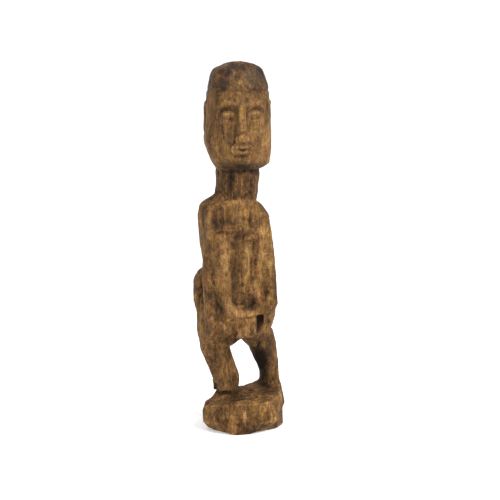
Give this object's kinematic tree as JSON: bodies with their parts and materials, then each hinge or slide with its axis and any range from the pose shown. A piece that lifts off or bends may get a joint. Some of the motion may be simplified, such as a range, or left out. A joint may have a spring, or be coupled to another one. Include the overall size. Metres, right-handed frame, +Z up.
{
  "type": "carved ancestor figure",
  "caption": "Standing figure carved from one block of wood: tall block head on a column neck, arms along the trunk, bent legs on a plinth.",
  "frame": {"origin": "on the foot face, under the middle of the plinth", "axes": "+Z up, the figure faces -Y and its right side is -X"},
  "size_m": [0.0767, 0.0744, 0.302],
  "materials": {
    "base_wood": "adzed, worn, dry",
    "body_wood": "knife cut, worn, dry",
    "neck_wood": "knife cut, dark patina",
    "head_wood": "knife cut, handled, slight sheen",
    "cap_wood": "smoothed, dark patina with worn specks"
  },
  "bodies": {
    "root": {"plinth": "base_wood", "right_leg": "body_wood", "left_leg": "body_wood", "hips": "body_wood", "loin_block": "body_wood", "right_buttock": "body_wood", "left_buttock": "body_wood", "abdomen": "body_wood", "chest": "body_wood", "right_arm": "body_wood", "left_arm": "body_wood", "neck": "neck_wood", "head": "head_wood", "cap_of_hair": "cap_wood"}
  },
  "joints": []
}
